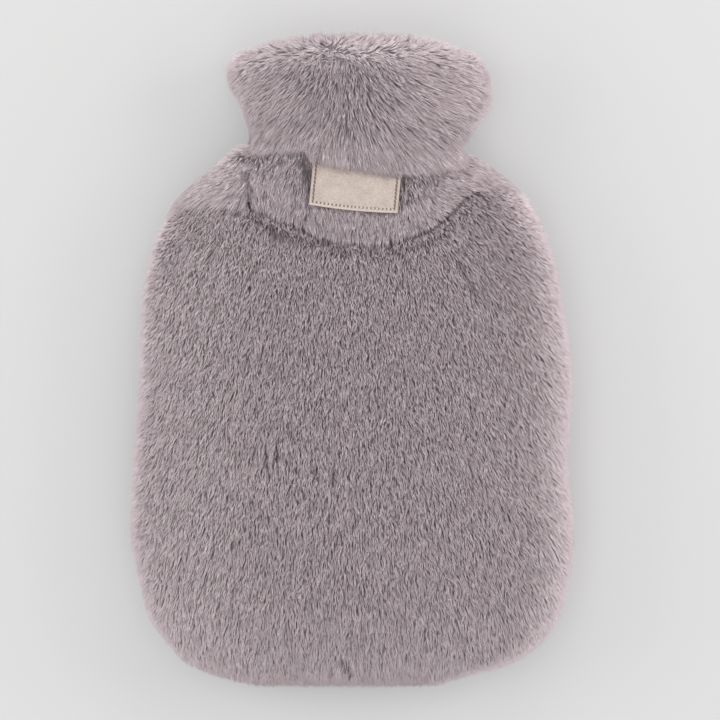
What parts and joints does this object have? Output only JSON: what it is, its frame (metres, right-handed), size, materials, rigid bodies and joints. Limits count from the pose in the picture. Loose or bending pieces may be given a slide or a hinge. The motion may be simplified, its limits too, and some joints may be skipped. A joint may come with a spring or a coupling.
{
  "type": "hot water bottle cover",
  "caption": "Long-pile fitted cover lying on its back: a puffed pouch with a lapped yoke, a small sewn label and a thick turned-down collar around the open neck.",
  "frame": {"origin": "on the surface the cover lies on, under the middle of its bounding box", "axes": "+Y along the cover towards the neck, +Z out of the face with the label, +X to the right as seen from above with the neck away"},
  "size_m": [0.2402, 0.3522, 0.0665],
  "materials": {
    "pile_cloth": "long soft grey-taupe pile with paler tips",
    "label_cloth": "smooth matt cream with stitched edges"
  },
  "bodies": {
    "root": {"back_panel": "pile_cloth", "front_panel": "pile_cloth", "yoke_flap": "pile_cloth", "neck_collar": "pile_cloth", "label_patch": "label_cloth"}
  },
  "joints": []
}
